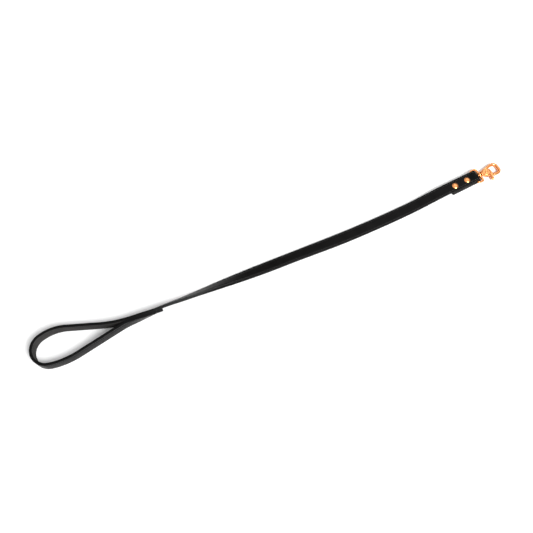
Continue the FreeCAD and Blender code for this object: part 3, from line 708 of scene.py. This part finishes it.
side_bar = EYE_INSIDE / 2 + EYE_BAR
straight_wide = 2 * (side_bar - EYE_CORNER)
straight_deep = EYE_REACH - 2 * EYE_CORNER
corner = (EYE_CORNER, -90)
ring = rod("swivel_eye_cast", EYE_BAR, (0, -side_bar + EYE_CORNER), 90,
           [straight_wide, corner, straight_deep, corner] * 2)
edit()
straight_end = side_bar - EYE_CORNER + 1e-5
thinner = STRAP_BAR / EYE_BAR
choose(ring, "VERT", lambda v: abs(v.x) < 1.01 * EYE_BAR and abs(v.y) < straight_end)
bpy.ops.transform.resize(value=(thinner, 1, thinner), center_override=(0, 0, 0))
choose(ring, "VERT", lambda v: EYE_REACH - 1.01 * EYE_BAR < v.x < EYE_REACH + 1e-5
       and abs(v.y) < straight_end)
bpy.ops.transform.translate(value=(-OUTER_BAR_IN, 0, 0))
edit(False)
boss = lie_along(turned("boss", [
    (BOSS_RADIUS - 0.0007, 0.0), (BOSS_RADIUS, 0.0008), (BOSS_RADIUS + 0.0003, 0.0024),
    (BOSS_RADIUS, 0.0041), (BOSS_RADIUS - 0.0007, BOSS_BACK + BOSS_AHEAD)]), EYE_REACH - BOSS_BACK)
eye = join([ring, boss])
cast(eye, 0.00022, 5)
bore = turned("bore", [(BORE, 0.0), (BORE, 0.009)])
carve(eye, lie_along(bore, EYE_REACH - BOSS_BACK - 0.002))
eye.data.transform(SNAP)
metal(eye, "eye", "swivel_eye")

# -------------------------------------------------------------- snap hook
# Die cast in one piece and polished: the stud with its upset head, a collar, a body that
# widens into two round cheeks for the trigger, and the round limb that bends into a hook.
pivot = SNAP.inverted() @ Vector(joint["trigger_press"]["pos_m"])
STUD_RADIUS, HEAD_RADIUS, END_PLAY = 0.0020, 0.0032, 0.00025
COLLAR_RADIUS, COLLAR_LONG, NECK_RADIUS = 0.0052, 0.0028, 0.0036
CHEEK_RADIUS, CHEEK_HEIGHT, SLOT = 0.0074, 0.0072, 0.0035
LIMB_RADIUS = 0.0029
boss_in, boss_out = EYE_REACH - BOSS_BACK, EYE_REACH + BOSS_AHEAD
collar_from = boss_out + END_PLAY
neck_from = collar_from + COLLAR_LONG
HEAD_TALL = 0.0011
stud_from = boss_in - END_PLAY - HEAD_TALL


def at_pivot(piece):
    """Move a piece made about Z to the trigger's pivot."""
    piece.data.transform(Matrix.Translation((pivot.x, pivot.y, 0)))
    return piece


stud = lie_along(turned("stud", [
    (HEAD_RADIUS - 0.0006, 0.0), (HEAD_RADIUS, 0.0004), (HEAD_RADIUS, HEAD_TALL),
    (STUD_RADIUS, HEAD_TALL),
    (STUD_RADIUS, collar_from - stud_from), (COLLAR_RADIUS - 0.0008, collar_from - stud_from),
    (COLLAR_RADIUS, collar_from - stud_from + 0.0008),
    (COLLAR_RADIUS, neck_from - stud_from - 0.0009),
    (NECK_RADIUS, neck_from - stud_from + 0.0003), (NECK_RADIUS, pivot.x - stud_from)]), stud_from)
half = CHEEK_HEIGHT / 2
cheeks = at_pivot(turned("cheeks", [
    (CHEEK_RADIUS - 0.0013, -half), (CHEEK_RADIUS - 0.0004, -half + 0.0004),
    (CHEEK_RADIUS, -half + 0.0014), (CHEEK_RADIUS, half - 0.0014),
    (CHEEK_RADIUS - 0.0004, half - 0.0004), (CHEEK_RADIUS - 0.0013, half)]))
BODY_NEAR, BODY_FAR, BODY_HEIGHT = 0.0046, 0.0050, 0.0064
BODY_FLARE, BODY_ROUND = 0.0030, 0.0012
body = block("body", ((neck_from + pivot.x) / 2, (BODY_FAR - BODY_NEAR) / 2, 0),
             (pivot.x - neck_from, BODY_NEAR + BODY_FAR, BODY_HEIGHT))
edit()
choose(body, "VERT", lambda v: v.x > pivot.x - 1e-5 and v.y < 0)
bpy.ops.transform.translate(value=(0, -BODY_FLARE, 0))
choose(body, "VERT", lambda v: v.x < neck_from + 1e-5)
bpy.ops.transform.resize(value=(1, 0.85, 0.8), center_override=(neck_from, 0, 0))
choose(body, "EDGE", lambda m, e: span(e).x > 0.004)
bpy.ops.mesh.bevel(offset=BODY_ROUND, segments=3, affect="EDGES")
edit(False)
LIMB_START = (neck_from + 0.001, 0.0024)
LIMB_SIDE, LIMB_LEVEL_AT, LIMB_BEND = 0.0082, 0.0380, 0.022
CROWN, CROWN_RADIUS, NOSE_SIDE, NOSE_END, NOSE_TIP = 0.0510, 0.0065, 0.0110, 0.0348, 0.0006
slope = math.degrees(math.atan2(LIMB_SIDE - LIMB_START[1], LIMB_LEVEL_AT - neck_from))
ease = LIMB_BEND * math.tan(math.radians(slope / 2))
slant = (LIMB_SIDE - LIMB_START[1]) / math.sin(math.radians(slope)) - ease
level_from = LIMB_START[0] + (slant + ease) * math.cos(math.radians(slope))
level = CROWN - CROWN_RADIUS - level_from - ease
limb = rod("limb", LIMB_RADIUS, LIMB_START, slope, [
    slant, (LIMB_BEND, -slope), level, (CROWN_RADIUS, -90),
    LIMB_SIDE + NOSE_SIDE - 2 * CROWN_RADIUS, (CROWN_RADIUS, -90),
    CROWN - CROWN_RADIUS - NOSE_END - NOSE_TIP])
edit()
choose(limb, "FACE", lambda m, f: len(f.verts) > 8 and m.x > 0.03)
bpy.ops.mesh.extrude_region_move(TRANSFORM_OT_translate={"value": (-NOSE_TIP, 0, 0)})
bpy.ops.transform.resize(value=(1, 0.80, 0.80), center_override=(NOSE_END, -NOSE_SIDE, 0))
edit(False)
hook = join([limb, stud, cheeks, body])
hook.name = hook.data.name = "hook"
cast(hook, 0.00024, 6)
GATE_PLAY, HUB_RADIUS, WEB_LOW, SLOT_BACK = 0.0003, 0.0053, 0.0090, 0.0045
hub_room = HUB_RADIUS + GATE_PLAY
carve(hook, at_pivot(turned("hub_slot", [(hub_room, -SLOT / 2), (hub_room, SLOT / 2)])))
wide = SLOT_BACK + CHEEK_RADIUS + GATE_PLAY
tall = WEB_LOW + GATE_PLAY
carve(hook, block("web_slot", (pivot.x - SLOT_BACK + wide / 2, pivot.y - WEB_LOW + tall / 2, 0),
                  (wide, tall, SLOT)))
GROOVE, GROOVE_LEVEL = 0.0006, 0.0026
DISH_RADIUS, DISH_DEEP = 0.0031, 0.0004
for side in (1, -1):
    bpy.ops.object.select_all(action="DESELECT")
    bpy.ops.mesh.primitive_torus_add(major_radius=CHEEK_RADIUS + 0.75 * GROOVE, minor_radius=GROOVE,
                                     major_segments=64, minor_segments=12,
                                     location=(pivot.x, pivot.y, side * GROOVE_LEVEL))
    carve(hook, begin("groove"))
    bottom = side * (half - DISH_DEEP)
    carve(hook, at_pivot(turned("dish", [
        (DISH_RADIUS - 0.0003, bottom), (DISH_RADIUS, bottom + side * 0.0003),
        (DISH_RADIUS, bottom + side * 0.002)])))
PIN_RADIUS, PIN_FIT = 0.0015, 0.00002
hole = PIN_RADIUS + PIN_FIT
carve(hook, at_pivot(turned("pin_hole", [(hole, -CHEEK_HEIGHT), (hole, CHEEK_HEIGHT)])))
hook.data.transform(SNAP)
metal(hook, "hook", "snap_hook")

# ----------------------------------------------------------- trigger gate
# The bell crank that closes the hook: a thin hub between the cheeks, a thick gate whose
# front shuts on the nose, and a thumb lever that flares out to the near side.
GATE_REACH, GATE_HEIGHT, GATE_LOW, GATE_HIGH = 0.0100, 0.0056, 0.0114, 0.0041
LEVER_RADIUS, LEVER_FROM, LEVER_HEADING = 0.0019, (0.0044, -0.0062), -84
TIP_CENTRE = (0.0026, -0.0156)
slab_from = pivot.x + CHEEK_RADIUS / 2
slab_to = pivot.x + GATE_REACH
slab = block("slab", ((slab_from + slab_to) / 2, pivot.y + (GATE_HIGH - GATE_LOW) / 2, 0),
             (slab_to - slab_from, GATE_LOW + GATE_HIGH, GATE_HEIGHT))
edit()
choose(slab, "EDGE", lambda m, e: span(e).z > 0.001)
bpy.ops.mesh.bevel(offset=0.0014, segments=4, affect="EDGES")
choose(slab, "EDGE", lambda m, e: abs(abs(m.z) - GATE_HEIGHT / 2) < 1e-6)
bpy.ops.mesh.bevel(offset=0.0007, segments=2, affect="EDGES")
edit(False)
lever = rod("lever", LEVER_RADIUS, (pivot.x + LEVER_FROM[0], pivot.y + LEVER_FROM[1]),
            LEVER_HEADING, [0.0016, (0.020, -14), 0.0006, (0.020, -8), 0.0005])
edit()
tip = pivot + Vector((*TIP_CENTRE, 0))
choose(lever, "VERT", lambda v: v.y < pivot.y - 0.0125)
bpy.ops.transform.resize(value=(1.30, 1, 1.12), center_override=(tip.x, tip.y, 0))
choose(lever, "VERT", lambda v: v.y < pivot.y - 0.0150)
bpy.ops.transform.resize(value=(1.15, 1, 1.0), center_override=(tip.x, tip.y, 0))
choose(lever, "FACE", lambda m, f: len(f.verts) > 8 and m.y < pivot.y - 0.012)
for longer, narrower in ((0.0008, 0.86), (0.0006, 0.66)):
    bpy.ops.mesh.extrude_region_move(TRANSFORM_OT_translate={"value": (-0.0002, -longer, 0)})
    bpy.ops.transform.resize(value=(narrower, 1, narrower), center_override=(tip.x, tip.y, 0))
edit(False)
gate = join([slab, lever])
gate.name = gate.data.name = "gate"
cast(gate, 0.00022, 4)
cheek_room = CHEEK_RADIUS + GATE_PLAY
carve(gate, at_pivot(turned("room", [(cheek_room, -0.006), (cheek_room, 0.006)], 96)))
HUB_PLAY, HUB_EDGE, WEB_WIDE = 0.0003, 0.0003, 0.0082
hub_tall = SLOT - HUB_PLAY
hub = at_pivot(turned("hub", [
    (HUB_RADIUS - HUB_EDGE, -hub_tall / 2), (HUB_RADIUS, -hub_tall / 2 + HUB_EDGE),
    (HUB_RADIUS, hub_tall / 2 - HUB_EDGE), (HUB_RADIUS - HUB_EDGE, hub_tall / 2)]))
web = block("web", (pivot.x + WEB_WIDE / 2, pivot.y - WEB_LOW / 2, 0),
            (WEB_WIDE, WEB_LOW, hub_tall))
edit()
choose(web, "EDGE", lambda m, e: span(e).z > 0.001)
bpy.ops.mesh.bevel(offset=0.0008, segments=2, affect="EDGES")
edit(False)
for part in (hub, web):
    apply_modifier(gate, "BOOLEAN", operation="UNION", object=part, solver="EXACT")
    bpy.data.objects.remove(part)
SPRING_WELL, WELL_DEEP, PIN_SLACK = 0.0032, 0.0023, 0.00006
for radius, low in ((PIN_RADIUS + PIN_SLACK, -0.004), (SPRING_WELL, hub_tall / 2 - WELL_DEEP)):
    carve(gate, at_pivot(turned("bore", [(radius, low), (radius, 0.004)])))
gate.data.transform(SNAP)
metal(gate, "trigger", "trigger_gate")

# -------------------------------------------------------------- pivot pin
# A plated brass pin, 3 mm thick, pressed through both cheeks and upset to a low domed
# head on each side; the trigger turns on it.
PIN_HEAD, UPSET = 0.0024, 0.0005
pin = at_pivot(turned("pin", [
    (PIN_HEAD - 0.0010, -half - UPSET), (PIN_HEAD - 0.0003, -half - UPSET * 0.7),
    (PIN_HEAD, -half - UPSET * 0.2), (PIN_HEAD, -half), (PIN_RADIUS, -half), (PIN_RADIUS, half),
    (PIN_HEAD, half), (PIN_HEAD, half + UPSET * 0.2), (PIN_HEAD - 0.0003, half + UPSET * 0.7),
    (PIN_HEAD - 0.0010, half + UPSET), (PIN_HEAD - 0.0014, half + UPSET * 0.8)], 40))
pin.data.transform(SNAP)
metal(pin, "hook", "pivot_pin")

# --------------------------------------------------------- trigger spring
# Two and a half turns of 0.5 mm spring wire round the pin, in the well of the gate's
# hub, hidden between the cheeks; it holds the gate shut.
WIRE, COIL, PITCH, TURNS = 0.00025, 0.0024, 0.0006, 2.5
spring_steel = Finish("spring_steel", Metallic=1.0)
drawn = spring_steel.noise(spring_steel.place(), 2500.0, 2.0, 0.5)
spring_steel.to("Base Color", spring_steel.ramp(drawn, [(0.3, (0.42, 0.42, 0.44)),
                                                        (0.7, (0.62, 0.62, 0.64))]))
spring_steel.to("Roughness", spring_steel.ramp(drawn, [(0.3, (0.22,) * 3), (0.7, (0.38,) * 3)]))
bpy.ops.object.select_all(action="DESELECT")
bpy.ops.mesh.primitive_circle_add(vertices=10, radius=WIRE, location=(COIL, 0, 0),
                                  rotation=(math.pi / 2, 0, 0))
spring = begin("spring")
apply_modifier(spring, "SCREW", angle=TURNS * 2 * math.pi, screw_offset=PITCH * TURNS, steps=90,
               render_steps=90, use_merge_vertices=False)
edit()
bpy.ops.mesh.select_all(action="SELECT")
bpy.ops.mesh.fill_holes(sides=0)
bpy.ops.mesh.select_all(action="SELECT")
bpy.ops.mesh.normals_make_consistent(inside=False)
edit(False)
coil_low = hub_tall / 2 - WELL_DEEP + 2 * WIRE
spring.data.transform(SNAP @ Matrix.Translation((pivot.x, pivot.y, coil_low)))
spring.data.materials.append(spring_steel.made)
soften(spring, 60)
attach(spring, "hook")
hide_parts("trigger_spring")

# --------------------------------------------------------- floor and light
# A plain white floor under soft light: a broad lamp to the near right that throws the
# shadow up and to the left, a weaker one over the far side, and a pale surround.
bpy.ops.object.select_all(action="DESELECT")
bpy.ops.mesh.primitive_plane_add(size=12, location=(0, 0, -0.0001))
floor = begin("floor")
paper = Finish("paper", Roughness=0.75)
pulp = paper.noise(paper.place(), 30.0, 3.0, 0.5)
paper.to("Base Color", paper.ramp(pulp, [(0.3, (0.86, 0.86, 0.86)), (0.7, (0.88, 0.88, 0.88))]))
floor.data.materials.append(paper.made)
floor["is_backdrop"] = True

world = bpy.data.worlds.new("surround")
bpy.context.scene.world = world
world.use_nodes = True
wall = world.node_tree.nodes
rise = wall.new("ShaderNodeSeparateXYZ")
shade = wall.new("ShaderNodeValToRGB")   # pale walls that darken towards the ceiling
facing = wall.new("ShaderNodeTexCoord")
world.node_tree.links.new(facing.outputs["Generated"], rise.inputs["Vector"])
world.node_tree.links.new(rise.outputs["Z"], shade.inputs["Fac"])
world.node_tree.links.new(shade.outputs["Color"], wall["Background"].inputs["Color"])
SURROUND_GREYS = ((0.0, 0.52), (0.75, 0.09), (0.20, 0.19))
steps = [*shade.color_ramp.elements, shade.color_ramp.elements.new(0.5)]
for element, (place, grey) in zip(steps, SURROUND_GREYS):
    element.position = place
    element.color = (grey, 0.995 * grey, 0.985 * grey, 1)


def lamp(name, spot, aim, size, power):
    light = bpy.data.lights.new(name, "AREA")
    light.shape = "DISK"
    light.size, light.energy = size, power
    held = bpy.data.objects.new(name, light)
    bpy.context.scene.collection.objects.link(held)
    held.location = spot
    held.rotation_euler = (Vector(aim) - Vector(spot)).to_track_quat("-Z", "Y").to_euler()


lamp("key", spot=(0.64, -2.15, 2.36), aim=(0, 0, 0), size=1.75, power=172.0)
lamp("card", spot=(1.37, 0.55, 1.40), aim=(0.4, 0, 0), size=1.6, power=4.4)
bpy.context.scene.view_settings.view_transform = "Standard"

# ------------------------------------------------------------------ camera
# Looks down from the loop's side at about two thirds of a right angle, turned so that
# the lead runs up to the right.
camera = bpy.data.objects.new("camera", bpy.data.cameras.new("camera"))
bpy.context.scene.collection.objects.link(camera)
camera.location = (-0.2269, -0.3730, 0.9100)
camera.rotation_euler = (math.radians(24.4), 0, math.radians(-27.88))
camera.data.lens = 39.98
camera.data.sensor_width = 36.0
bpy.context.scene.camera = camera

low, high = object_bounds()
